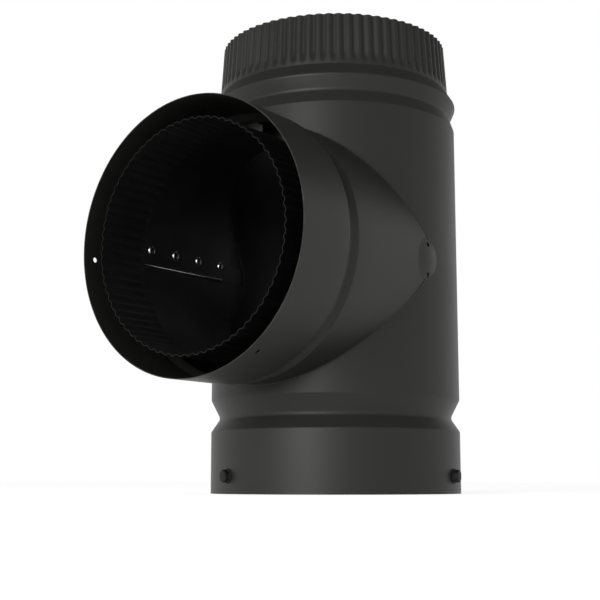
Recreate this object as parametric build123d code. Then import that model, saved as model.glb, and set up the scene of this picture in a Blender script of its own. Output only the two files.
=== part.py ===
from build123d import *
import math
import os

# Driving sizes, in millimetres. The run stands on the origin with +Z up along its axis,
# and the branch leaves it towards -Y.

# Sheets: the black jacket, the flue liner inside it, and the still air between them
jacket_radius = 88.9
jacket_wall = 0.6
air_gap = 11.6
liner_wall = 0.5

# Jacket of the run, stacked from the lower rim upwards
lower_socket = 43.0
lower_groove_depth = 6.5
lower_groove_below = 9.5
lower_groove_above = 13.0
shoulder_below = 6.1
shoulder_above = 13.6
upper_groove_depth = 3.2
upper_groove_below = 9.0
bead_height = 1.2
bead_below = 10.0
bead_above = 8.5
collar_length = 37.0
collar_base_inset = 4.3
collar_tip_inset = 6.6
groove_bend = 4.0
lip_bend = 2.5

# Jacket of the branch, stacked outwards from the front of the run
saddle_step = 0.5
branch_neck = 15.1
branch_groove_depth = 3.2
branch_groove_half = 6.5
branch_socket = 48.0
branch_mouth_flare = 1.6
weld_gap = 0.1

# Crimps: flutes pressed into the jacket's collar and the liner's lower and outer ends
jacket_crimp_pitch = 7.2
jacket_crimp_depth = 1.6
liner_crimp_pitch = 6.6
liner_crimp_depth = 1.2
liner_crimp_length = 36.0
liner_crimp_clearance = 0.2
crimp_fade = 6.0
crimp_plain = 2.0
crimp_set_in = 0.05
crest_share = 0.46

# Spacers: bent strips that hold the liner in the middle of the jacket
spacer_wall = 0.8
spacer_foot = 6.0
spacer_width = 12.0
spacer_count = 3
spacer_play = 0.05
spacer_margin = 2.0
run_spacer_angle = 60.0
branch_spacer_angle = 180.0

# Clean-out cap in the lower socket
cap_wall = 0.6
cap_play = 0.15
cap_skirt = 28.0
cap_bend = 1.5
liner_tip_clearance = 1.0
collar_flange = 7.0
collar_margin = 7.0

# Screws through the lower socket into the cap, and the empty holes for three more in the branch
screw_count = 3
screw_inset = 12.0
screw_angle = -21.0
screw_radius = 2.1
screw_length = 9.0
screw_point = 3.0
screw_tip_radius = 0.2
screw_play = 0.1
screw_seat = 0.02
jacket_hole_play = 0.3
hex_width = 8.0
hex_height = 3.2
washer_radius = 5.2
washer_height = 1.0
pilot_radius = 1.75
pilot_inset = 10.0
pilot_angle = -87.0

# Sizes that follow from those above
jacket_inside = jacket_radius - jacket_wall
liner_radius = jacket_inside - air_gap
branch_radius = jacket_radius - saddle_step
branch_inside = branch_radius - jacket_wall
branch_liner_radius = branch_inside - air_gap
branch_liner_inside = branch_liner_radius - liner_wall
liner_recess = cap_wall + liner_tip_clearance
lower_groove_root = lower_socket + lower_groove_below
lower_groove_top = lower_groove_root + lower_groove_above
branch_height = lower_groove_top + shoulder_below + branch_radius
upper_groove_bottom = branch_height + branch_radius + shoulder_above
upper_groove_root = upper_groove_bottom + upper_groove_below
bead_top = upper_groove_root + bead_below
collar_base = bead_top + bead_above
run_height = collar_base + collar_length
branch_groove_start = jacket_radius + branch_neck
branch_groove_root = branch_groove_start + branch_groove_half
branch_socket_start = branch_groove_root + branch_groove_half
branch_reach = branch_socket_start + branch_socket
spacer_length = 2 * spacer_foot
top_spacer_low = upper_groove_bottom - spacer_margin - spacer_length
bottom_spacer_low = lower_groove_top + spacer_margin
branch_spacer_low = branch_groove_start - spacer_margin - spacer_length


def turned_sheet(outline, bends, wall):
    """Sheet turned about Z: its outside line runs upwards and its wall lies towards the axis."""
    outside = FilletPolyline(*outline, radius=bends) if bends else Polyline(*outline)
    section = make_face(offset(outside, amount=wall, side=Side.LEFT))
    return revolve(Plane.XZ * section, Axis.Z)


def ring_point(radius, turn, height):
    """Point on a ring about Z, its turn in radians."""
    return (radius * math.cos(turn), radius * math.sin(turn), height)


def plain_ring(radius, count, height):
    """Corners of the plain edge that flutes grow from, one under each valley."""
    return [ring_point(radius, (flute + 0.5) * math.tau / count, height) for flute in range(count)]


def fluted_ring(radius, valley, count, height):
    """Corners of a crimped edge: both ends of each flat crest, then the bottom of its valley."""
    corners = ((-crest_share / 2, radius), (crest_share / 2, radius), (0.5, valley))
    return [
        ring_point(away, (flute + share) * math.tau / count, height)
        for flute in range(count)
        for share, away in corners
    ]


def flute_facets(base, start, tip, count):
    """Flat facets of a crimped skin: each flute opens from the base ring and runs on to the tip."""
    facets = []
    for flute in range(count):
        crest = 3 * flute
        left, right, valley, before = crest, crest + 1, crest + 2, crest - 1
        facets += [
            (base[flute - 1], base[flute], start[right], start[left]),
            (base[flute], start[valley], start[right]),
            (base[flute - 1], start[left], start[before]),
            (start[left], start[right], tip[right], tip[left]),
            (start[right], start[valley], tip[valley], tip[right]),
            (start[before], start[left], tip[left], tip[before]),
        ]
    return [Face(Wire.make_polygon(corners)) for corners in facets]


def crimped_band(base, start, tip, wall, depth, count):
    """Fluted sheet through a plain base, the start of the full flutes and the tip, as (height, radius).

    Its base is set in from both faces of the plain tube that it grows from.
    """
    valley_ratio = 1 - depth / tip[1]
    wall_ratio = 1 - wall / tip[1]
    inner_base = (base[1] - wall + crimp_set_in) / math.cos(math.pi / count)
    skins = []
    edges = []
    for base_radius, ratio in ((base[1] - crimp_set_in, 1), (inner_base, wall_ratio)):
        plain = plain_ring(base_radius, count, base[0])
        fluted = [
            fluted_ring(radius * ratio, radius * ratio * valley_ratio, count, height)
            for height, radius in (start, tip)
        ]
        skins += flute_facets(plain, *fluted, count)
        edges.append((Wire.make_polygon(plain), Wire.make_polygon(fluted[1])))
    rims = [Face(outer, [inner]) for outer, inner in zip(*edges)]
    return Solid(Shell(skins + rims))


def bar(radius, length):
    """Round bar that stands on the origin along Z."""
    return Cylinder(radius, length, align=(Align.CENTER, Align.CENTER, Align.MIN))


def along_branch(shape):
    """Turns a shape modelled about Z, with the run's axis at its zero, to lie along the branch."""
    return Pos(0, 0, branch_height) * Rot(90, 0, 0) * shape


def around(count, start):
    """Even angles round an axis, in degrees."""
    return [start + turn * 360 / count for turn in range(count)]


def radial_cutter(radius, reach, height, angle):
    """Bar that points outwards from Z, its angle counted from -Y towards +X."""
    return Pos(0, 0, height) * Rot(0, 0, angle) * Rot(90, 0, 0) * bar(radius, reach)


# Jacket of the run
def make_jacket_run():
    band_top = collar_base + crimp_plain
    band_radius = jacket_radius - collar_base_inset
    taper = (collar_tip_inset - collar_base_inset) / (run_height - band_top)
    outline = (
        (jacket_radius, 0),
        (jacket_radius, lower_socket),
        (jacket_radius - lower_groove_depth, lower_groove_root),
        (jacket_radius, lower_groove_top),
        (jacket_radius, upper_groove_bottom),
        (jacket_radius - upper_groove_depth, upper_groove_root),
        (jacket_radius + bead_height, bead_top),
        (band_radius, collar_base),
        (band_radius, band_top),
    )
    bends = [lip_bend, groove_bend, lip_bend, lip_bend, groove_bend, lip_bend, lip_bend]
    tube = turned_sheet(outline, bends, jacket_wall)
    tube -= along_branch(bar(branch_inside, branch_reach))
    for angle in around(screw_count, screw_angle):
        tube -= radial_cutter(screw_radius + jacket_hole_play, 2 * jacket_radius, screw_inset, angle)
    count = round(math.tau * band_radius / jacket_crimp_pitch)
    base = (band_top, band_radius)
    start = (band_top + crimp_fade, band_radius - taper * crimp_fade)
    tip = (run_height, jacket_radius - collar_tip_inset)
    return tube + crimped_band(base, start, tip, jacket_wall, jacket_crimp_depth, count)


# Jacket of the branch
def make_jacket_branch():
    mouth_radius = branch_radius + branch_mouth_flare
    outline = (
        (branch_radius, 0),
        (branch_radius, branch_groove_start),
        (branch_radius - branch_groove_depth, branch_groove_root),
        (mouth_radius, branch_socket_start),
        (mouth_radius, branch_reach),
    )
    snout = turned_sheet(outline, [lip_bend, groove_bend, lip_bend], jacket_wall)
    for angle in around(screw_count, pilot_angle):
        snout -= radial_cutter(pilot_radius, 2 * mouth_radius, branch_reach - pilot_inset, angle)
    return along_branch(snout) - bar(jacket_radius + weld_gap, run_height)


# Crimped end of a liner tube, from its plain edge to its tip: it slips into a liner as wide as the run's
def crimped_liner_end(plain_end, tip, radius):
    count = round(math.tau * radius / liner_crimp_pitch)
    crest = liner_radius - liner_wall - liner_crimp_clearance
    start = (plain_end + math.copysign(crimp_fade, tip - plain_end), crest)
    return crimped_band((plain_end, radius), start, (tip, crest), liner_wall, liner_crimp_depth, count)


# Liner of the run: plain at the top, crimped at the bottom
def make_liner_run():
    crimp_base = liner_recess + liner_crimp_length + crimp_fade
    outline = ((liner_radius, crimp_base), (liner_radius, run_height - liner_recess))
    tube = turned_sheet(outline, None, liner_wall)
    tube -= along_branch(bar(branch_liner_inside, branch_reach))
    return tube + crimped_liner_end(crimp_base, liner_recess, liner_radius)


# Liner of the branch: saddle-cut to the run's liner, crimped at the mouth
def make_liner_branch():
    tip = branch_reach - liner_recess
    crimp_base = tip - liner_crimp_length - crimp_fade
    tube = turned_sheet(((branch_liner_radius, 0), (branch_liner_radius, crimp_base)), None, liner_wall)
    tube = along_branch(tube) - bar(liner_radius + weld_gap, run_height)
    return tube + along_branch(crimped_liner_end(crimp_base, tip, branch_liner_radius))


# Spacer: one foot on the liner, a step across the air gap, one foot against the jacket
def make_spacer(inner, outer, low, angle):
    near = inner + spacer_play
    far = outer - spacer_play
    step = low + spacer_foot
    outline = (
        (near, low),
        (near, step + spacer_wall / 2),
        (far - spacer_wall, step + spacer_wall / 2),
        (far - spacer_wall, low + spacer_length),
        (far, low + spacer_length),
        (far, step - spacer_wall / 2),
        (near + spacer_wall, step - spacer_wall / 2),
        (near + spacer_wall, low),
    )
    section = make_face(Polyline(*outline, close=True))
    turn = math.degrees(spacer_width / inner)
    strip = revolve(Plane.XZ * section, Axis.Z, turn)
    return Rot(0, 0, angle - 90 - turn / 2) * strip


# Clean-out cap: pressed cup whose skirt goes up inside the lower socket
def make_cleanout_cap():
    skirt = jacket_inside - cap_play
    outline = ((0, 0), (skirt, 0), (skirt, cap_skirt))
    cup = turned_sheet(outline, [cap_bend], cap_wall)
    for angle in around(screw_count, screw_angle):
        cup -= radial_cutter(screw_radius + screw_play, 2 * jacket_radius, screw_inset, angle)
    return cup


# Collar on the cap: flanged ring that takes the liner's crimped lower end
def make_cap_collar():
    seat = cap_wall + liner_wall
    top = liner_recess + liner_crimp_length - collar_margin
    outline = ((liner_radius + collar_flange, seat), (liner_radius, seat), (liner_radius, top))
    return turned_sheet(outline, [cap_bend], liner_wall)


# Self-tapping screw with a hexagon head on its own washer, its seat at zero
def make_screw():
    washer = bar(washer_radius, washer_height)
    hexagon = extrude(RegularPolygon(hex_width / 2, 6, major_radius=False), hex_height)
    straight = screw_length - screw_point
    shank = Pos(0, 0, -straight / 2) * Cylinder(screw_radius, straight)
    point = Pos(0, 0, -straight - screw_point / 2) * Cone(screw_tip_radius, screw_radius, screw_point)
    return washer + Pos(0, 0, washer_height) * hexagon + shank + point


def make_cap_screws():
    screw = make_screw()
    seat = Pos(0, 0, jacket_radius + screw_seat)
    return Compound(
        [
            Pos(0, 0, screw_inset) * Rot(0, 0, angle) * Rot(90, 0, 0) * seat * screw
            for angle in around(screw_count, screw_angle)
        ]
    )


pieces = {
    "jacket_run": make_jacket_run(),
    "jacket_branch": make_jacket_branch(),
    "liner_run": make_liner_run(),
    "liner_branch": make_liner_branch(),
    "cleanout_cap": make_cleanout_cap(),
    "cap_collar": make_cap_collar(),
    "cap_screws": make_cap_screws(),
}

for number, angle in enumerate(around(spacer_count, run_spacer_angle), 1):
    pieces[f"top_spacer_{number}"] = make_spacer(liner_radius, jacket_inside, top_spacer_low, angle)
    pieces[f"bottom_spacer_{number}"] = make_spacer(liner_radius, jacket_inside, bottom_spacer_low, angle)
for number, angle in enumerate(around(spacer_count, branch_spacer_angle), 1):
    spacer = make_spacer(branch_liner_radius, branch_inside, branch_spacer_low, angle)
    pieces[f"branch_spacer_{number}"] = along_branch(spacer)

os.makedirs("parts", exist_ok=True)
for name, piece in pieces.items():
    export_step(piece, f"parts/{name}.step")
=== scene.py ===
"""Black double-wall stove-pipe tee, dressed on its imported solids. Metres, +Z up, branch towards -Y."""

import math

import bpy
from mathutils import Matrix, Vector


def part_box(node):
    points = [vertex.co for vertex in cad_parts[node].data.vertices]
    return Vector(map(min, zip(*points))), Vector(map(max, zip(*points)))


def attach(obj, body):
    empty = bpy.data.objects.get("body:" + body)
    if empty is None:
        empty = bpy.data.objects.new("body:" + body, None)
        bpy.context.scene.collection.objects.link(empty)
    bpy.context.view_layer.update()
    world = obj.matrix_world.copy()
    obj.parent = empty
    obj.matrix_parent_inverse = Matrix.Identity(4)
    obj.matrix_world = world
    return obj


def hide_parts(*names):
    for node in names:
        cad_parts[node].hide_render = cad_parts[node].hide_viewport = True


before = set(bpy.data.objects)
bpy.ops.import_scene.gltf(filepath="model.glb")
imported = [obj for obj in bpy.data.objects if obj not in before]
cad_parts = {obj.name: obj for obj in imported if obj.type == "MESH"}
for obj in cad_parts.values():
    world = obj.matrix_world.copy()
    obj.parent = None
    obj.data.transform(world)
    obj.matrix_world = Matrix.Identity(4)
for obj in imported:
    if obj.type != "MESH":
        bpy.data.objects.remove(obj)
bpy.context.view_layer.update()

# Liner of the run
# The flue tube inside the jacket, rolled from thin dull steel whose tone is painted darker than bare
# steel, as painted shade for the inside of the pipe. Its lower end is crimped to slip into the clean-out
# cap's collar, and the branch liner opens into it through a round hole.
run_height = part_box("jacket_run")[1].z
branch_reach = -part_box("jacket_branch")[0].y
branch_height = 0.160
liner_radius = 0.0767
liner_wall = 0.0005
liner_recess = 0.0016
liner_crimp_length = 0.036
liner_crimp_depth = 0.0012
liner_crest_radius = 0.0760
liner_flutes = 73
liner_lap_half = math.radians(8)
run_liner_lap_angle = math.radians(60)
branch_liner_radius = 0.0762
crimp_fade = 0.006
crimp_band_rings = 6
crimp_fade_rings = 8
crest_half_share = 0.08
columns_per_flute = 10
plain_step = 0.02
cutter_columns = 256
same_point = 0.000004
along_branch = Matrix.Translation((0, 0, branch_height)) @ Matrix.Rotation(math.pi / 2, 4, "X")


def smooth_step(share):
    """Eases from 0 to 1."""
    share = min(max(share, 0), 1)
    return share * share * (3 - 2 * share)


def flutes(count, depth, plain_end, full_from):
    """Crimping rolls' print: how far the sheet is pressed in at an angle and height."""

    def pressed_in(angle, height):
        growth = smooth_step((height - plain_end) / (full_from - plain_end))
        from_crest = abs((angle * count / math.tau + 0.5) % 1 - 0.5)
        return depth * growth * smooth_step((from_crest - crest_half_share) / (0.5 - crest_half_share))

    return pressed_in


def lap_seam(middle, half_width, step):
    """Lap of a rolled sheet: the step where one edge lies over the other, by the angle round the tube.

    The upper layer climbs gently before the lap and ends in a sharp edge on its other side.
    """

    def stepped(angle):
        across = (angle - middle + math.pi) % math.tau - math.pi
        return step * smooth_step((across + 2 * half_width) / half_width) if across < half_width else 0

    return stepped


def new_piece(name, points, faces):
    """Object with a mesh of these points and faces, put in the scene."""
    mesh = bpy.data.meshes.new(name)
    mesh.from_pydata(points, [], faces)
    piece = bpy.data.objects.new(name, mesh)
    bpy.context.scene.collection.objects.link(piece)
    return piece


def turned_skin(name, line, columns, dent=None, closed=False):
    """Skin turned about Z along a line of (radius, height) points that runs upwards."""
    points = []
    for radius, height in line:
        for column in range(columns):
            angle = math.tau * column / columns
            away = radius - (dent(angle, height) if dent else 0)
            points.append((away * math.cos(angle), away * math.sin(angle), height))
    faces = []
    for ring in range(len(line) - 1):
        low, high = ring * columns, (ring + 1) * columns
        for column in range(columns):
            after = (column + 1) % columns
            faces.append((low + column, low + after, high + after, high + column))
    if closed:
        faces.append(tuple(range(columns - 1, -1, -1)))
        faces.append(tuple(range(len(points) - columns, len(points))))
    return new_piece(name, points, faces)


def run_modifiers(piece):
    """Makes what a piece's modifiers give its own mesh."""
    bpy.context.view_layer.update()
    shown = piece.evaluated_get(bpy.context.evaluated_depsgraph_get())
    mesh = bpy.data.meshes.new_from_object(shown)
    piece.modifiers.clear()
    piece.data = mesh


def thicken(piece, wall):
    """Gives a skin its wall, towards the inside."""
    sheet = piece.modifiers.new("sheet", "SOLIDIFY")
    sheet.thickness = wall
    sheet.offset = -1
    sheet.use_even_offset = True
    run_modifiers(piece)


def cut_away(piece, cutter):
    """Cuts a piece with another, which goes, and merges the points that the cut leaves too close."""
    cut = piece.modifiers.new("cut", "BOOLEAN")
    cut.operation = "DIFFERENCE"
    cut.solver = "EXACT"
    cut.object = cutter
    merge = piece.modifiers.new("merge", "WELD")
    merge.merge_threshold = same_point
    run_modifiers(piece)
    bpy.data.objects.remove(cutter)


def round_cutter(radius, reach, place, columns=cutter_columns):
    """Round bar from the origin along Z, put in its place."""
    bar = turned_skin("cutter", [(radius, 0), (radius, reach)], columns, closed=True)
    bar.data.transform(place)
    return bar


def soften(piece, sharp_angle=40):
    """Shades a mesh smooth but for its sharp edges."""
    piece.data.shade_smooth()
    piece.data.set_sharp_from_angle(angle=math.radians(sharp_angle))


def steps(start, end, count):
    """Evenly spaced values from start to end, both with them."""
    return [start + (end - start) * step / count for step in range(count + 1)]


def crimped_liner_line(radius, tip, plain_end, far_end):
    """Outside line of a liner tube from its crimped tip to its plain end."""
    fade_end = plain_end - math.copysign(crimp_fade, plain_end - tip)
    line = [(liner_crest_radius, height) for height in steps(tip, fade_end, crimp_band_rings)]
    for height in steps(fade_end, plain_end, crimp_fade_rings)[1:]:
        opened = smooth_step((height - fade_end) / (plain_end - fade_end))
        line.append((liner_crest_radius + (radius - liner_crest_radius) * opened, height))
    plain_count = math.ceil(abs(far_end - plain_end) / plain_step)
    return line + [(radius, height) for height in steps(plain_end, far_end, plain_count)[1:]]


def rolled_tube(name, line, crimps, count, lap):
    """Skin of a tube rolled from sheet, with its crimps and its lap seam."""
    return turned_skin(
        name, line, count * columns_per_flute, lambda angle, height: crimps(angle, height) + lap(angle)
    )


run_crimp_base = liner_recess + liner_crimp_length + crimp_fade
liner_run = rolled_tube(
    "flue_liner_run",
    crimped_liner_line(liner_radius, liner_recess, run_crimp_base, run_height - liner_recess),
    flutes(liner_flutes, liner_crimp_depth, run_crimp_base, run_crimp_base - crimp_fade),
    liner_flutes,
    lap_seam(run_liner_lap_angle, liner_lap_half, liner_wall),
)
thicken(liner_run, liner_wall)
cut_away(liner_run, round_cutter(branch_liner_radius - liner_wall, branch_reach, along_branch))
soften(liner_run)


def add_node(tree, kind, inputs=None, **settings):
    """New shader node, its inputs set to values or linked from other nodes' sockets."""
    made = tree.nodes.new("ShaderNode" + kind)
    for name, value in settings.items():
        setattr(made, name, value)
    for name, value in (inputs or {}).items():
        if isinstance(value, bpy.types.NodeSocket):
            tree.links.new(value, made.inputs[name])
        else:
            made.inputs[name].default_value = value
    return made


def new_group(name, inputs, outputs):
    """Empty shader group with named value inputs and outputs, and its two end nodes."""
    group = bpy.data.node_groups.new(name, "ShaderNodeTree")
    for socket, value in inputs.items():
        made = group.interface.new_socket(socket, in_out="INPUT", socket_type="NodeSocketFloat")
        made.default_value = value
    for socket in outputs:
        group.interface.new_socket(socket, in_out="OUTPUT", socket_type="NodeSocketFloat")
    return group, group.nodes.new("NodeGroupInput"), group.nodes.new("NodeGroupOutput")


def remapped(tree, value, low, high, to_low, to_high):
    """A value stretched from one range to another and held there."""
    ends = {"Value": value, "From Min": low, "From Max": high, "To Min": to_low, "To Max": to_high}
    return add_node(tree, "MapRange", ends).outputs["Result"]


def toned(tree, value, dark, light):
    """Grey or tinted colour between two tones."""
    ramp = add_node(tree, "ValToRGB", {"Fac": value})
    ramp.color_ramp.elements[0].color = (*dark, 1)
    ramp.color_ramp.elements[1].color = (*light, 1)
    return ramp.outputs["Color"]


def laid_over(tree, mask, under, over):
    """A colour with a plain tone laid over it where the mask is one."""
    return add_node(tree, "Mix", {0: mask, 6: under, 7: (*over, 1)}, data_type="RGBA").outputs[2]


def distance_from(tree, coordinate, edge):
    """Distance of the surface from an edge, either side of it, along one axis of the tee."""
    axes = add_node(tree, "SeparateXYZ", {"Vector": add_node(tree, "TexCoord").outputs["Object"]})
    apart = add_node(tree, "Math", {0: axes.outputs[coordinate], 1: edge}, operation="SUBTRACT")
    return add_node(tree, "Math", {0: apart.outputs[0]}, operation="ABSOLUTE").outputs[0]


# Rolled sheet: fine lines drawn out along one direction by the mill, and broad cloudy tarnish
rolled_sheet, given, put_out = new_group(
    "rolled_sheet", {"Line Scale": 900.0, "Stretch": 0.03, "Cloud Scale": 22.0}, ("Lines", "Clouds")
)
place = add_node(rolled_sheet, "TexCoord").outputs["Object"]
stretch = add_node(rolled_sheet, "CombineXYZ", {"X": 1.0, "Y": 1.0, "Z": given.outputs["Stretch"]})
drawn = add_node(rolled_sheet, "VectorMath", {0: place, 1: stretch.outputs[0]}, operation="MULTIPLY")
lines = add_node(
    rolled_sheet,
    "TexNoise",
    {"Vector": drawn.outputs[0], "Scale": given.outputs["Line Scale"], "Detail": 3.0},
)
clouds = add_node(
    rolled_sheet, "TexNoise", {"Vector": place, "Scale": given.outputs["Cloud Scale"], "Detail": 5.0}
)
rolled_sheet.links.new(lines.outputs["Fac"], put_out.inputs["Lines"])
rolled_sheet.links.new(clouds.outputs["Fac"], put_out.inputs["Clouds"])

noise_low = 0.3
noise_high = 0.7
line_bump = 0.15
line_depth = 0.0001
# Darker tone laid along the cut edges of the steel, and how far it reaches
cut_edge_dark_tone = (0.022, 0.022, 0.0225)
cut_edge_dark_full = 0.0002
cut_edge_dark_width = 0.0009


def steel(name, dark, light, roughness, line_scale, cloud_scale, cut_edges=()):
    """Bare rolled steel, clouded and finely lined, and darker along its cut edges."""
    made = bpy.data.materials.new(name)
    made.use_nodes = True
    tree = made.node_tree
    shader = tree.nodes["Principled BSDF"]
    sheet = tree.nodes.new("ShaderNodeGroup")
    sheet.node_tree = rolled_sheet
    sheet.inputs["Line Scale"].default_value = line_scale
    sheet.inputs["Cloud Scale"].default_value = cloud_scale
    tone = toned(tree, remapped(tree, sheet.outputs["Clouds"], noise_low, noise_high, 0, 1), dark, light)
    for coordinate, edge in cut_edges:
        away = distance_from(tree, coordinate, edge)
        tone = laid_over(tree, remapped(tree, away, cut_edge_dark_full, cut_edge_dark_width, 1, 0), tone, cut_edge_dark_tone)
    tree.links.new(tone, shader.inputs["Base Color"])
    gloss = remapped(tree, sheet.outputs["Lines"], noise_low, noise_high, *roughness)
    tree.links.new(gloss, shader.inputs["Roughness"])
    shader.inputs["Metallic"].default_value = 1.0
    relief = {"Height": sheet.outputs["Lines"], "Strength": line_bump, "Distance": line_depth}
    tree.links.new(add_node(tree, "Bump", relief).outputs["Normal"], shader.inputs["Normal"])
    return made


# Dull steel, its tone painted far darker than bare steel as painted shade for the inside of the pipe
flue_steel_dark_as_shade = steel(
    "dull_steel_dark_as_shade",
    dark=(0.06, 0.06, 0.062),
    light=(0.105, 0.106, 0.108),
    roughness=(0.36, 0.5),
    line_scale=1100.0,
    cloud_scale=18.0,
    cut_edges=(("Y", liner_recess - branch_reach), ("Z", run_height - liner_recess)),
)


def give_finish(piece, material):
    """Leaves a piece with one material."""
    piece.data.materials.clear()
    piece.data.materials.append(material)


def fit(piece, material, slot, *nodes):
    """Gives a finished piece its material and makes it stand for its solids."""
    give_finish(piece, material)
    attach(piece, "root")
    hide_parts(*nodes)


fit(liner_run, flue_steel_dark_as_shade, "liner_steel", "liner_run")

# Liner of the branch
# The same steel tube laid on its side, saddle-cut and welded to the run's liner at one end. Its
# mouth is crimped to slip into the next pipe, and stops just short of the jacket's rim. Bright spot
# welds hold its lap, and a rippled weld closes the lap's edge.
branch_liner_tip = branch_reach - liner_recess
branch_crimp_base = branch_liner_tip - liner_crimp_length - crimp_fade
branch_lap_angle = math.radians(-95)
spoke_zero = math.radians(-90)
run_axis = 0.0
weld_gap = 0.0001
spot_pitch = 0.025
spot_first = 0.04
spot_count = 4
liner_spot_radius = 0.0035
liner_spot_height = 0.0013
dome_climb = 0.48 * math.pi
dome_rings = 5
dome_columns = 24
ripple_radius = 0.0004
ripple_height = 0.0006
ripple_growth = 3.6
ripple_count = 60
liner_branch_line = crimped_liner_line(branch_liner_radius, branch_liner_tip, branch_crimp_base, run_axis)
liner_branch = rolled_tube(
    "flue_liner_branch",
    liner_branch_line[::-1],
    flutes(liner_flutes, liner_crimp_depth, branch_crimp_base, branch_crimp_base + crimp_fade),
    liner_flutes,
    lap_seam(branch_lap_angle + spoke_zero, liner_lap_half, liner_wall),
)
thicken(liner_branch, liner_wall)
liner_branch.data.transform(along_branch)
upright = Matrix.Identity(4)
cut_away(liner_branch, round_cutter(liner_radius + weld_gap, run_height, upright))
soften(liner_branch)
fit(liner_branch, flue_steel_dark_as_shade, "liner_steel", "liner_branch")


def joined(name, pieces):
    """One object of several pieces' meshes."""
    with bpy.context.temp_override(active_object=pieces[0], selected_editable_objects=pieces):
        bpy.ops.object.join()
    pieces[0].name = name
    return pieces[0]


def spoke_place(angle, height):
    """Place on the Z axis that points outwards, its angle in radians from -Y towards +X."""
    rise = Matrix.Translation((0, 0, height))
    return rise @ Matrix.Rotation(angle, 4, "Z") @ Matrix.Rotation(math.pi / 2, 4, "X")


def spot_welds(name, places, radius, height):
    """Row of the low round marks that welding leaves, one at each place."""
    dome = [
        (radius * math.cos(climb), height * math.sin(climb)) for climb in steps(0, dome_climb, dome_rings)
    ]
    marks = []
    for spot_place in places:
        mark = turned_skin("mark", dome, dome_columns, closed=True)
        mark.data.transform(spot_place)
        marks.append(mark)
    row = joined(name, marks)
    soften(row)
    return row


inwards = Matrix.Rotation(math.pi, 4, "X")
liner_lap_face = Matrix.Translation((0, 0, branch_liner_radius - 2 * liner_wall)) @ inwards
liner_spots = spot_welds(
    "liner_spot_welds",
    [
        along_branch @ spoke_place(branch_lap_angle, spot_first + number * spot_pitch) @ liner_lap_face
        for number in range(spot_count)
    ],
    liner_spot_radius,
    liner_spot_height,
)
nugget_steel = steel(
    "weld_nugget_steel",
    dark=(0.48, 0.48, 0.475),
    light=(0.64, 0.64, 0.635),
    roughness=(0.15, 0.26),
    line_scale=1600.0,
    cloud_scale=300.0,
)
fit(liner_spots, nugget_steel, "liner_steel")
lap_edge_face = Matrix.Translation((0, 0, branch_liner_radius - liner_wall)) @ inwards
ripple_places = steps(branch_crimp_base, spot_first, ripple_count)
ripple_sizes = steps(1, ripple_growth, ripple_count)
seam_ripples = spot_welds(
    "liner_seam_weld",
    [
        along_branch
        @ spoke_place(branch_lap_angle + liner_lap_half, height)
        @ lap_edge_face
        @ Matrix.Scale(size, 4)
        for height, size in zip(ripple_places, ripple_sizes)
    ],
    ripple_radius,
    ripple_height,
)
fit(seam_ripples, nugget_steel, "liner_steel")

# Spacers
# Strips of mill-finish steel, bent to a step and spot-welded in threes between the liner and the
# jacket, at the top and bottom of the run and near the mouth of the branch.
spacer_steel = steel(
    "mill_finish_steel",
    dark=(0.15, 0.15, 0.15),
    light=(0.24, 0.24, 0.236),
    roughness=(0.3, 0.45),
    line_scale=1600.0,
    cloud_scale=60.0,
)
for end in ("top", "bottom", "branch"):
    for number in (1, 2, 3):
        give_finish(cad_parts[f"{end}_spacer_{number}"], spacer_steel)

# Jacket of the run
# The outer tube of black painted sheet, lapped at the back and spot-welded. Rolls have pressed a deep
# groove above the lower socket, a groove and a bead below the collar, and the collar's flutes, which
# taper into the next pipe.
jacket_radius = 0.0889
jacket_wall = 0.0006
branch_radius = 0.0884
lower_socket = 0.043
lower_groove_root = 0.0525
lower_groove_top = 0.0655
lower_groove_depth = 0.0065
upper_groove_bottom = 0.262
upper_groove_root = 0.271
upper_groove_depth = 0.0032
bead_top = 0.281
bead_height = 0.0012
collar_base = 0.2895
collar_base_inset = 0.0043
collar_tip_inset = 0.0066
collar_plain = 0.002
collar_rings = 14
jacket_flutes = 74
jacket_crimp_depth = 0.0016
jacket_step = 0.05
jacket_lap_half = math.radians(4)
run_lap_angle = math.radians(90)
groove_bend = 0.004
lip_bend = 0.0025
arc_steps = 5
screw_inset = 0.012
screw_hole_radius = 0.0024
screw_count = 3
screw_angle = math.radians(-21)
drill_columns = 48


def rounded_line(corners, bends):
    """Line of (radius, height) corners with each inner corner bent to its own radius."""
    corners = [Vector(corner) for corner in corners]
    line = [tuple(corners[0])]
    for before, corner, after, bend in zip(corners, corners[1:], corners[2:], bends):
        back = (before - corner).normalized()
        on = (after - corner).normalized()
        half_angle = back.angle(on) / 2
        centre = corner + (back + on).normalized() * bend / math.sin(half_angle)
        spoke = corner + back * bend / math.tan(half_angle) - centre
        sweep = spoke.angle_signed(corner + on * bend / math.tan(half_angle) - centre)
        for turn in steps(0, -sweep, arc_steps):
            line.append(tuple(centre + Matrix.Rotation(turn, 2) @ spoke))
    return line + [tuple(corners[-1])]


def with_steps(line, longest):
    """A line with its long straight runs divided."""
    divided = [line[0]]
    for before, after in zip(line, line[1:]):
        count = math.ceil(math.dist(before, after) / longest)
        radii = steps(before[0], after[0], count)[1:]
        heights = steps(before[1], after[1], count)[1:]
        divided += list(zip(radii, heights))
    return divided


def spokes_round(count, first_angle, height):
    """Evenly spaced places on the Z axis that point outwards."""
    return [spoke_place(first_angle + math.tau * number / count, height) for number in range(count)]


def drill(piece, radius, places):
    """Drills a small round hole through a piece outwards from each place."""
    bars = [round_cutter(radius, 2 * jacket_radius, place, drill_columns) for place in places]
    cut_away(piece, joined("drill", bars))


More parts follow.
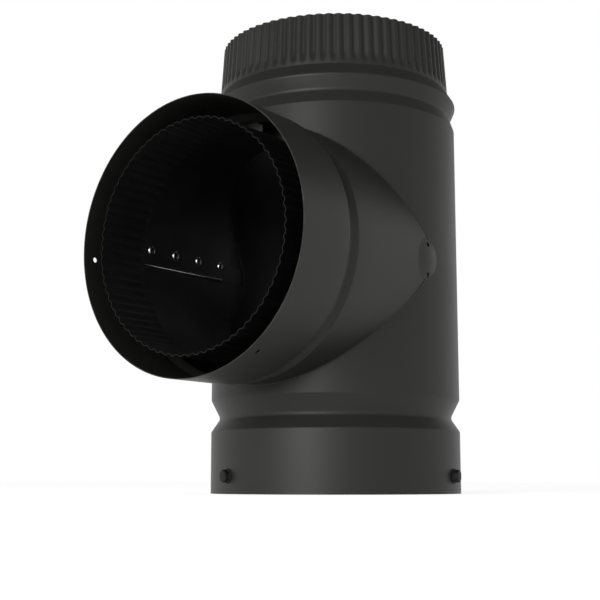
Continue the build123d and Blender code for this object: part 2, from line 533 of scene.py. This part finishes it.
collar_radius = jacket_radius - collar_base_inset
collar_band_top = collar_base + collar_plain
collar_radii = steps(collar_radius, jacket_radius - collar_tip_inset, collar_rings)
collar_line = list(zip(collar_radii, steps(collar_band_top, run_height, collar_rings)))
jacket_line = rounded_line(
    [
        (jacket_radius, 0),
        (jacket_radius, lower_socket),
        (jacket_radius - lower_groove_depth, lower_groove_root),
        (jacket_radius, lower_groove_top),
        (jacket_radius, upper_groove_bottom),
        (jacket_radius - upper_groove_depth, upper_groove_root),
        (jacket_radius + bead_height, bead_top),
        (collar_radius, collar_base),
        (collar_radius, collar_band_top),
    ],
    [lip_bend, groove_bend, lip_bend, lip_bend, groove_bend, lip_bend, lip_bend],
)
jacket_run = rolled_tube(
    "jacket_of_run",
    with_steps(jacket_line, jacket_step) + collar_line[1:],
    flutes(jacket_flutes, jacket_crimp_depth, collar_band_top, collar_band_top + crimp_fade),
    jacket_flutes,
    lap_seam(run_lap_angle, jacket_lap_half, -jacket_wall),
)
thicken(jacket_run, jacket_wall)
cut_away(jacket_run, round_cutter(branch_radius - jacket_wall, branch_reach, along_branch))
screw_places = spokes_round(screw_count, screw_angle, screw_inset)
drill(jacket_run, screw_hole_radius, screw_places)
soften(jacket_run)

# Paint grain: the fine pebble of a sprayed coat, and the drift of its tone
paint_grain, given, put_out = new_group(
    "paint_grain", {"Pebble Scale": 1400.0, "Drift Scale": 9.0}, ("Pebble", "Drift")
)
place = add_node(paint_grain, "TexCoord").outputs["Object"]
pebble = add_node(
    paint_grain, "TexNoise", {"Vector": place, "Scale": given.outputs["Pebble Scale"], "Detail": 2.0}
)
drift = add_node(
    paint_grain, "TexNoise", {"Vector": place, "Scale": given.outputs["Drift Scale"], "Detail": 4.0}
)
paint_grain.links.new(pebble.outputs["Fac"], put_out.inputs["Pebble"])
paint_grain.links.new(drift.outputs["Fac"], put_out.inputs["Drift"])

# Rim wear: paint rubbed thin in patches along an edge, by its distance from the edge
rubbed_tone = (0.035, 0.035, 0.034)
rubbed_through = 0.2
patch_from = 0.45
patch_full = 0.65
rim_wear, given, put_out = new_group(
    "rim_wear", {"Distance": 1.0, "Width": 0.0012, "Patch Scale": 160.0}, ("Mask",)
)
near = add_node(
    rim_wear, "Math", {0: given.outputs["Distance"], 1: given.outputs["Width"]}, operation="DIVIDE"
)
fade = remapped(rim_wear, near.outputs[0], rubbed_through, 1, 1, 0)
place = add_node(rim_wear, "TexCoord").outputs["Object"]
patches = add_node(
    rim_wear, "TexNoise", {"Vector": place, "Scale": given.outputs["Patch Scale"], "Detail": 4.0}
)
spread = remapped(rim_wear, patches.outputs["Fac"], patch_from, patch_full, 0, 1)
worn = add_node(rim_wear, "Math", {0: fade, 1: spread}, operation="MULTIPLY")
rim_wear.links.new(worn.outputs[0], put_out.inputs["Mask"])


def worn_edge(tree, coordinate, edge):
    """Mask of the rubbed paint along one edge."""
    group = tree.nodes.new("ShaderNodeGroup")
    group.node_tree = rim_wear
    tree.links.new(distance_from(tree, coordinate, edge), group.inputs["Distance"])
    return group.outputs["Mask"]


def black_coat(name, dark, light, specular, roughness, drift_scale, pebble_bump, pebble_depth, rims=()):
    """Sprayed black coat of drifting tone, finely pebbled, and rubbed thin along some rims."""
    made = bpy.data.materials.new(name)
    made.use_nodes = True
    tree = made.node_tree
    shader = tree.nodes["Principled BSDF"]
    coat = tree.nodes.new("ShaderNodeGroup")
    coat.node_tree = paint_grain
    coat.inputs["Drift Scale"].default_value = drift_scale
    tone = toned(tree, remapped(tree, coat.outputs["Drift"], noise_low, noise_high, 0, 1), dark, light)
    for coordinate, edge in rims:
        tone = laid_over(tree, worn_edge(tree, coordinate, edge), tone, rubbed_tone)
    tree.links.new(tone, shader.inputs["Base Color"])
    gloss = remapped(tree, coat.outputs["Drift"], noise_low, noise_high, *roughness)
    tree.links.new(gloss, shader.inputs["Roughness"])
    shader.inputs["Specular IOR Level"].default_value = specular
    relief = {"Height": coat.outputs["Pebble"], "Strength": pebble_bump, "Distance": pebble_depth}
    tree.links.new(add_node(tree, "Bump", relief).outputs["Normal"], shader.inputs["Normal"])
    return made


stove_paint = black_coat(
    "satin_stove_paint",
    dark=(0.0135, 0.0136, 0.012),
    light=(0.0185, 0.0186, 0.0168),
    specular=0.275,
    roughness=(0.42, 0.51),
    drift_scale=9.0,
    pebble_bump=0.2,
    pebble_depth=0.00015,
    rims=(("Z", run_height), ("Z", 0.0), ("Y", -branch_reach)),
)
fit(jacket_run, stove_paint, "jacket_paint", "jacket_run")
run_spot_radius = 0.0028
run_spot_height = 0.0006
socket_spot = 0.0215
lowest_body_spot = 0.085
highest_body_spot = 0.245
body_spot_gaps = 6
run_spot_places = [socket_spot, *steps(lowest_body_spot, highest_body_spot, body_spot_gaps)]
run_spots = spot_welds(
    "run_spot_welds",
    [
        spoke_place(run_lap_angle - spoke_zero, height)
        @ Matrix.Translation((0, 0, jacket_radius + jacket_wall))
        for height in run_spot_places
    ],
    run_spot_radius,
    run_spot_height,
)
fit(run_spots, stove_paint, "jacket_paint")

# Jacket of the branch
# A snout of the same painted sheet, saddle-cut and welded to the run. A rolled groove stops the
# next pipe, and three screw holes wait near the rim of its slightly wider socket. The weld leaves a
# small gap open above and below each crotch.
mouth_radius = 0.0900
branch_groove_start = 0.104
branch_groove_root = 0.1105
branch_socket_start = 0.117
branch_groove_depth = 0.0032
pilot_radius = 0.00175
pilot_inset = 0.010
pilot_angle = math.radians(-87)
snout_columns = 384
puddle_drop = 0.003
gap_radius = 0.0017
gap_rise = 0.0105
gap_angle = math.radians(78.5)
snout_line = rounded_line(
    [
        (branch_radius, run_axis),
        (branch_radius, branch_groove_start),
        (branch_radius - branch_groove_depth, branch_groove_root),
        (mouth_radius, branch_socket_start),
        (mouth_radius, branch_reach),
    ],
    [lip_bend, groove_bend, lip_bend],
)
jacket_branch = turned_skin("jacket_of_branch", with_steps(snout_line, plain_step), snout_columns)
thicken(jacket_branch, jacket_wall)
drill(jacket_branch, pilot_radius, spokes_round(screw_count, pilot_angle, branch_reach - pilot_inset))
jacket_branch.data.transform(along_branch)
cut_away(jacket_branch, round_cutter(jacket_radius + weld_gap, run_height, upright))
crotch_gaps = [
    spoke_place(side * gap_angle, branch_height - puddle_drop + rise)
    for side in (1, -1)
    for rise in (gap_rise, -gap_rise)
]
drill(jacket_branch, gap_radius, crotch_gaps)
soften(jacket_branch)
fit(jacket_branch, stove_paint, "jacket_paint", "jacket_branch")

# Saddle weld
# The thin bead of weld that closes the seam where the branch meets the run, painted over with
# the jackets. It spreads into a low puddle at each crotch.
weld_radius = 0.0012
weld_sink = 0.0007
weld_steps = 720
weld_sides = 24
puddle_out = 0.0175
puddle_rise = 0.0017
puddle_sink = 0.0001
puddle_half_width = 0.0145
puddle_half_height = 0.0165
puddle_climb = 0.49 * math.pi
puddle_rings = 40
puddle_columns = 96
saddle = []
for turn in range(weld_steps):
    angle = math.tau * turn / weld_steps
    across = branch_radius * math.cos(angle)
    out = math.sqrt(jacket_radius**2 - across**2)
    saddle.append(Vector((across, -out, branch_height + branch_radius * math.sin(angle))))
weld_points = []
weld_faces = []
for turn, centre in enumerate(saddle):
    ahead = (saddle[(turn + 1) % weld_steps] - saddle[turn - 1]).normalized()
    outwards = Vector((centre.x, 0, centre.z - branch_height)).normalized()
    sideways = ahead.cross(outwards).normalized()
    corner = (outwards + Vector((centre.x, centre.y, 0)).normalized()).normalized()
    middle = centre - corner * weld_sink
    here, after = turn * weld_sides, (turn + 1) % weld_steps * weld_sides
    for side in range(weld_sides):
        angle = math.tau * side / weld_sides
        spoke = outwards * math.cos(angle) + sideways * math.sin(angle)
        weld_points.append(middle + spoke * weld_radius)
        beside = (side + 1) % weld_sides
        weld_faces.append((here + side, here + beside, after + beside, after + side))
saddle_weld = new_piece("saddle_weld", weld_points, weld_faces)


def puddle(side):
    """Low lump of weld laid round the right (1) or left (-1) side of the branch, with a thin edge."""
    climbs = steps(-puddle_climb, puddle_climb, puddle_rings)
    ball_line = [(math.cos(climb), math.sin(climb)) for climb in climbs]
    lump = turned_skin("puddle", ball_line, puddle_columns, closed=True)
    for point in lump.data.vertices:
        along, up, rise = point.co
        away = branch_radius - puddle_sink + puddle_rise * min(rise, rise**3)
        turn = (puddle_half_height * up - puddle_drop) / branch_radius
        point.co = (
            side * away * math.cos(turn),
            side * puddle_half_width * along - puddle_out,
            branch_height + away * math.sin(turn),
        )
    return lump


puddles = joined("weld_puddles", [puddle(1), puddle(-1)])
for weld in (saddle_weld, puddles):
    drill(weld, gap_radius, crotch_gaps)
    soften(weld)
    fit(weld, stove_paint, "jacket_paint")

# Clean-out cap and its collar
# A pressed cup of the same painted sheet, pushed up into the lower socket. A flanged steel ring
# welded to its floor takes the crimped end of the liner.
give_finish(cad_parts["cleanout_cap"], stove_paint)
give_finish(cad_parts["cap_collar"], flue_steel_dark_as_shade)

# Cap screws
# Three self-tapping screws with a pressed hexagon head on its own washer, black coated. They go
# through the lower socket into the skirt of the cap.
screw_length = 0.009
screw_point = 0.003
screw_radius = 0.0021
screw_tip_radius = 0.0002
screw_seat = 0.00002
screw_columns = 48
point_rings = 24
shank_rings = 48
shank_gap = 0.0002
thread_pitch = 0.0014
thread_depth = 0.0005
thread_flank = 1.6
thread_land = 0.3
washer_radius = 0.0052
washer_height = 0.001
washer_rim = 0.0003
washer_round = 0.0002
hex_half_width = 0.004
hex_height = 0.0032
hex_sink = 0.0003
hex_edge_height = 0.0005
hex_edge_inset = 0.0008
hex_corner_round = 0.0003
hex_half_side = math.pi / 6
hex_corner_radius = hex_half_width / math.cos(hex_half_side)


def hexagon_cut(angle, height):
    """How far the flats of the hexagon lie inside the round that its corners touch, at any height."""
    to_flat = (angle + hex_half_side) % (2 * hex_half_side) - hex_half_side
    return max(hex_corner_radius - hex_half_width / math.cos(to_flat), hex_corner_round)


def thread(angle, height):
    """Groove of the coarse thread, at an angle and a height below the head."""
    turn = (height / thread_pitch - angle / math.tau) % 1
    return thread_depth * smooth_step(abs(2 * turn - 1) * thread_flank - thread_land)


washer_line = [
    (screw_radius, 0),
    (washer_radius - washer_round, 0),
    (washer_radius, washer_rim),
    (washer_radius - washer_round / 2, 2 * washer_rim),
    (washer_radius - 3 * washer_round, washer_height - washer_round / 2),
    (hex_corner_radius - washer_round, washer_height),
]
head_top = washer_height + hex_height
hexagon_line = [
    (hex_corner_radius, washer_height - hex_sink),
    (hex_corner_radius, head_top - hex_edge_height),
    (hex_corner_radius - hex_edge_height / 2, head_top - hex_edge_height / 4),
    (hex_corner_radius - hex_edge_inset, head_top),
]
point_end = screw_point - screw_length
point_radii = steps(screw_tip_radius, screw_radius, point_rings)
shank_line = list(zip(point_radii, steps(-screw_length, point_end, point_rings)))
shank_line += [(screw_radius, height) for height in steps(point_end, -shank_gap, shank_rings)[1:]]
screws = []
for screw_place in screw_places:
    hexagon = turned_skin("hexagon", hexagon_line, 2 * screw_columns, hexagon_cut, closed=True)
    washer = turned_skin("washer", washer_line, screw_columns, closed=True)
    shank = turned_skin("shank", shank_line, screw_columns, thread, closed=True)
    screw = joined("cap_screw", [hexagon, washer, shank])
    screw.data.transform(screw_place @ Matrix.Translation((0, 0, jacket_radius + screw_seat)))
    soften(screw, sharp_angle=30)
    screws.append(screw)
screw_black = black_coat(
    "black_screw_coat",
    dark=(0.007, 0.007, 0.007),
    light=(0.014, 0.014, 0.014),
    specular=0.14,
    roughness=(0.48, 0.6),
    drift_scale=240.0,
    pebble_bump=0.1,
    pebble_depth=0.0001,
)
cap_screws = joined("cap_screws_dressed", screws)
fit(cap_screws, screw_black, "screw_black", "cap_screws")

# Studio
# A plain pale floor, a world that is white round the horizon and dim overhead, and one large soft
# lamp at the front. The camera stands low in front of the branch and looks slightly up.
half_floor = 20.0
floor_drop = 0.0001
floor_tone = (0.8, 0.8, 0.8)
floor_roughness = 0.9
floor_glow = 0.72
floor_corners = ((-1, -1), (1, -1), (1, 1), (-1, 1))
floor = new_piece(
    "floor", [(x * half_floor, y * half_floor, -floor_drop) for x, y in floor_corners], [(0, 1, 2, 3)]
)
floor_paint = bpy.data.materials.new("pale_floor")
floor_paint.use_nodes = True
floor_tree = floor_paint.node_tree
floor_shader = floor_tree.nodes["Principled BSDF"]
floor_shader.inputs["Base Color"].default_value = (*floor_tone, 1)
floor_shader.inputs["Roughness"].default_value = floor_roughness
floor_shader.inputs["Specular IOR Level"].default_value = 0.0
floor_shader.inputs["Emission Color"].default_value = (1, 1, 1, 1)


def seen_rays(tree):
    """One for the rays by which a background is seen, straight, mirrored or through glass."""
    path = add_node(tree, "LightPath").outputs
    mirrored = add_node(
        tree, "Math", {0: path["Is Glossy Ray"], 1: path["Is Transmission Ray"]}, operation="MAXIMUM"
    )
    seen = add_node(tree, "Math", {0: path["Is Camera Ray"], 1: mirrored.outputs[0]}, operation="MAXIMUM")
    return seen.outputs[0]


floor_lift = add_node(floor_tree, "Math", {0: seen_rays(floor_tree), 1: floor_glow}, operation="MULTIPLY")
floor_tree.links.new(floor_lift.outputs[0], floor_shader.inputs["Emission Strength"])
give_finish(floor, floor_paint)

horizon_white = 1.0
overhead_grey = 0.15
white_up_to = 0.395
dim_from = 0.48
world = bpy.data.worlds.new("studio_world")
world.use_nodes = True
bpy.context.scene.world = world
sky = world.node_tree
direction = add_node(sky, "SeparateXYZ", {"Vector": add_node(sky, "TexCoord").outputs["Generated"]})
level = remapped(sky, direction.outputs["Z"], white_up_to, dim_from, horizon_white, overhead_grey)
sky.links.new(level, sky.nodes["Background"].inputs["Color"])

lamp_turn = math.radians(8)
lamp_climb = math.radians(6)
lamp_distance = 1.8
lamp_width = 0.9
lamp_height = 0.6
lamp_power = 20
lamp_data = bpy.data.lights.new("front_lamp", "AREA")
lamp_data.shape = "RECTANGLE"
lamp_data.size = lamp_width
lamp_data.size_y = lamp_height
lamp_data.energy = lamp_power
lamp = bpy.data.objects.new("front_lamp", lamp_data)
level_reach = math.cos(lamp_climb)
to_lamp = Vector(
    (math.sin(lamp_turn) * level_reach, -math.cos(lamp_turn) * level_reach, math.sin(lamp_climb))
)
lamp.location = Vector((0, 0, branch_height)) + to_lamp * lamp_distance
lamp.rotation_euler = (-to_lamp).to_track_quat("-Z", "Y").to_euler()
bpy.context.scene.collection.objects.link(lamp)

camera_turn = math.radians(33.88)
camera_distance = 0.84988
camera_height = 0.008
camera_aside = math.radians(1.71)
camera_pitch = math.radians(8.81)
camera_lens = 70.49
camera_sensor = 36
nearest_seen = 0.01
camera_data = bpy.data.cameras.new("camera")
camera_data.lens = camera_lens
camera_data.sensor_width = camera_sensor
camera_data.clip_start = nearest_seen
camera = bpy.data.objects.new("camera", camera_data)
camera.location = (
    camera_distance * math.sin(camera_turn),
    -camera_distance * math.cos(camera_turn),
    camera_height,
)
camera.rotation_euler = (math.pi / 2 + camera_pitch, 0, camera_turn + camera_aside)
bpy.context.scene.collection.objects.link(camera)
bpy.context.scene.camera = camera
bpy.context.scene.view_settings.view_transform = "Standard"
